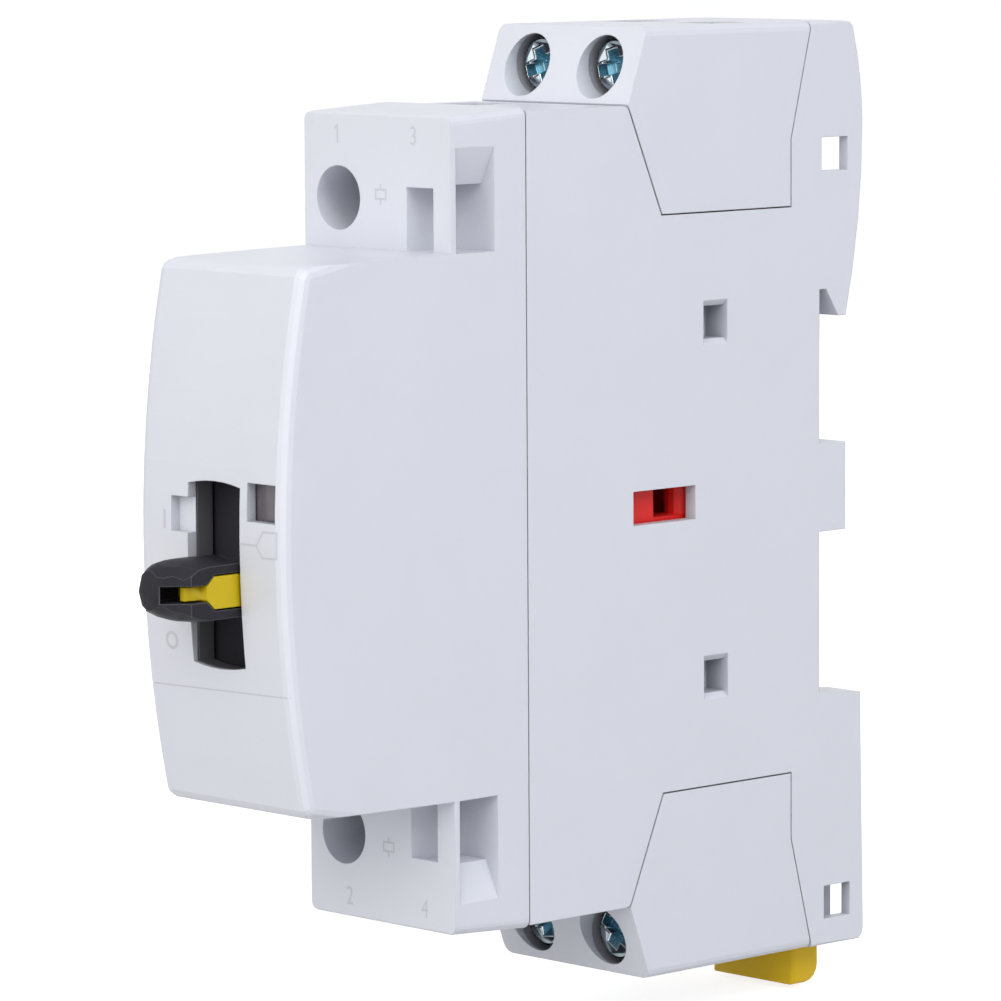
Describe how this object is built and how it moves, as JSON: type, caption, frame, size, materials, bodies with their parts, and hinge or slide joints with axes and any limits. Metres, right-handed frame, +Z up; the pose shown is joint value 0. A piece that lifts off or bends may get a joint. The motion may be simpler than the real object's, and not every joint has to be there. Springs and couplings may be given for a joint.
{
  "type": "din rail contactor",
  "caption": "Slim modular contactor for a top-hat rail, with a forked hand selector, clamp terminals, a sprung contact carrier and a pull-down rail clip.",
  "frame": {"origin": "on the rail seat plane, at the middle of the module's width and on the rail's centre line", "axes": "+X across the module to the right seen from the front, +Y backwards into the rail, +Z up along the panel"},
  "size_m": [0.0178, 0.0748, 0.0849],
  "materials": {
    "pale_plastic": "fine satin moulding grain",
    "black_plastic": "satin",
    "yellow_plastic": "satin",
    "red_plastic": "satin",
    "smoked_pane": "smooth",
    "zinc_plate": "zinc plated",
    "copper": "stamped",
    "core_iron": "laminated",
    "spring_steel": "drawn wire",
    "bobbin_plastic": "satin",
    "winding_wire": "enamelled wire"
  },
  "bodies": {
    "casing": {"front_cover": "pale_plastic", "base_housing": "pale_plastic", "terminal_cap_upper": "pale_plastic", "terminal_cap_lower": "pale_plastic", "selector_bezel": "black_plastic", "detent_spring": "spring_steel", "indicator_lens": "smoked_pane", "magnet_yoke": "core_iron", "coil_bobbin": "bobbin_plastic", "coil_winding": "winding_wire", "fixed_contact_1": "copper", "fixed_contact_2": "copper", "fixed_contact_3": "copper", "fixed_contact_4": "copper", "coil_strip_upper": "copper", "coil_strip_lower": "copper", "return_spring_upper": "spring_steel", "return_spring_lower": "spring_steel", "din_clip_spring": "spring_steel"},
    "selector": {"selector_lever": "black_plastic"},
    "lock": {"lever_lock": "yellow_plastic"},
    "carrier": {"contact_carrier": "red_plastic", "indicator_flag": "red_plastic", "armature": "core_iron", "moving_bridge_left": "copper", "moving_bridge_right": "copper", "contact_spring_left": "spring_steel", "contact_spring_right": "spring_steel"},
    "rail_clip": {"din_clip": "yellow_plastic"},
    "screw_1": {"terminal_screw_1": "zinc_plate"},
    "cage_1": {"clamp_cage_1": "zinc_plate"},
    "screw_2": {"terminal_screw_2": "zinc_plate"},
    "cage_2": {"clamp_cage_2": "zinc_plate"},
    "screw_3": {"terminal_screw_3": "zinc_plate"},
    "cage_3": {"clamp_cage_3": "zinc_plate"},
    "screw_4": {"terminal_screw_4": "zinc_plate"},
    "cage_4": {"clamp_cage_4": "zinc_plate"},
    "coil_screw_upper_body": {"coil_screw_upper": "zinc_plate"},
    "coil_cage_upper_body": {"coil_cage_upper": "zinc_plate"},
    "coil_screw_lower_body": {"coil_screw_lower": "zinc_plate"},
    "coil_cage_lower_body": {"coil_cage_lower": "zinc_plate"}
  },
  "joints": [
    {"name": "selector_slide", "type": "slide", "parent": "casing", "child": "selector", "axis": [0, 0, 1], "range_m": [-0.0042, 0.0056], "deforming": ["detent_spring"]},
    {"name": "lock_slide", "type": "slide", "parent": "selector", "child": "lock", "axis": [-1, 0, 0], "range_m": [0, 0.002]},
    {"name": "carrier_slide", "type": "slide", "parent": "casing", "child": "carrier", "axis": [0, -1, 0], "range_m": [0, 0.0024], "stiffness_N_per_m": 800, "springref_m": -0.004, "deforming": ["return_spring_upper", "return_spring_lower"]},
    {"name": "clip_slide", "type": "slide", "parent": "casing", "child": "rail_clip", "axis": [0, 0, -1], "range_m": [0, 0.003], "stiffness_N_per_m": 900, "springref_m": -0.004, "deforming": ["din_clip_spring"]},
    {"name": "screw_1_turn", "type": "hinge", "parent": "casing", "child": "screw_1", "pos_m": [-0.0044, -0.02033, 0.037], "axis": [0, 1, 0], "range_deg": [0, 1543]},
    {"name": "cage_1_slide", "type": "slide", "parent": "casing", "child": "cage_1", "axis": [0, -1, 0], "range_m": [0, 0.003]},
    {"name": "screw_2_turn", "type": "hinge", "parent": "casing", "child": "screw_2", "pos_m": [-0.0044, -0.02033, -0.037], "axis": [0, 1, 0], "range_deg": [0, 1543]},
    {"name": "cage_2_slide", "type": "slide", "parent": "casing", "child": "cage_2", "axis": [0, -1, 0], "range_m": [0, 0.003]},
    {"name": "screw_3_turn", "type": "hinge", "parent": "casing", "child": "screw_3", "pos_m": [0.0044, -0.02033, 0.037], "axis": [0, 1, 0], "range_deg": [0, 1543]},
    {"name": "cage_3_slide", "type": "slide", "parent": "casing", "child": "cage_3", "axis": [0, -1, 0], "range_m": [0, 0.003]},
    {"name": "screw_4_turn", "type": "hinge", "parent": "casing", "child": "screw_4", "pos_m": [0.0044, -0.02033, -0.037], "axis": [0, 1, 0], "range_deg": [0, 1543]},
    {"name": "cage_4_slide", "type": "slide", "parent": "casing", "child": "cage_4", "axis": [0, -1, 0], "range_m": [0, 0.003]},
    {"name": "coil_screw_upper_turn", "type": "hinge", "parent": "casing", "child": "coil_screw_upper_body", "pos_m": [-0.00475, -0.0383, 0.0266], "axis": [0, 1, 0], "range_deg": [0, 2081]},
    {"name": "coil_cage_upper_slide", "type": "slide", "parent": "casing", "child": "coil_cage_upper_body", "axis": [0, -1, 0], "range_m": [0, 0.0026]},
    {"name": "coil_screw_lower_turn", "type": "hinge", "parent": "casing", "child": "coil_screw_lower_body", "pos_m": [-0.00475, -0.0383, -0.0266], "axis": [0, 1, 0], "range_deg": [0, 2081]},
    {"name": "coil_cage_lower_slide", "type": "slide", "parent": "casing", "child": "coil_cage_lower_body", "axis": [0, -1, 0], "range_m": [0, 0.0026]}
  ],
  "couplings": [
    {"joint": "screw_1_turn", "follows": "cage_1_slide", "rad_per_m": 8976},
    {"joint": "screw_2_turn", "follows": "cage_2_slide", "rad_per_m": 8976},
    {"joint": "screw_3_turn", "follows": "cage_3_slide", "rad_per_m": 8976},
    {"joint": "screw_4_turn", "follows": "cage_4_slide", "rad_per_m": 8976},
    {"joint": "coil_screw_upper_turn", "follows": "coil_cage_upper_slide", "rad_per_m": 13963},
    {"joint": "coil_screw_lower_turn", "follows": "coil_cage_lower_slide", "rad_per_m": 13963}
  ]
}
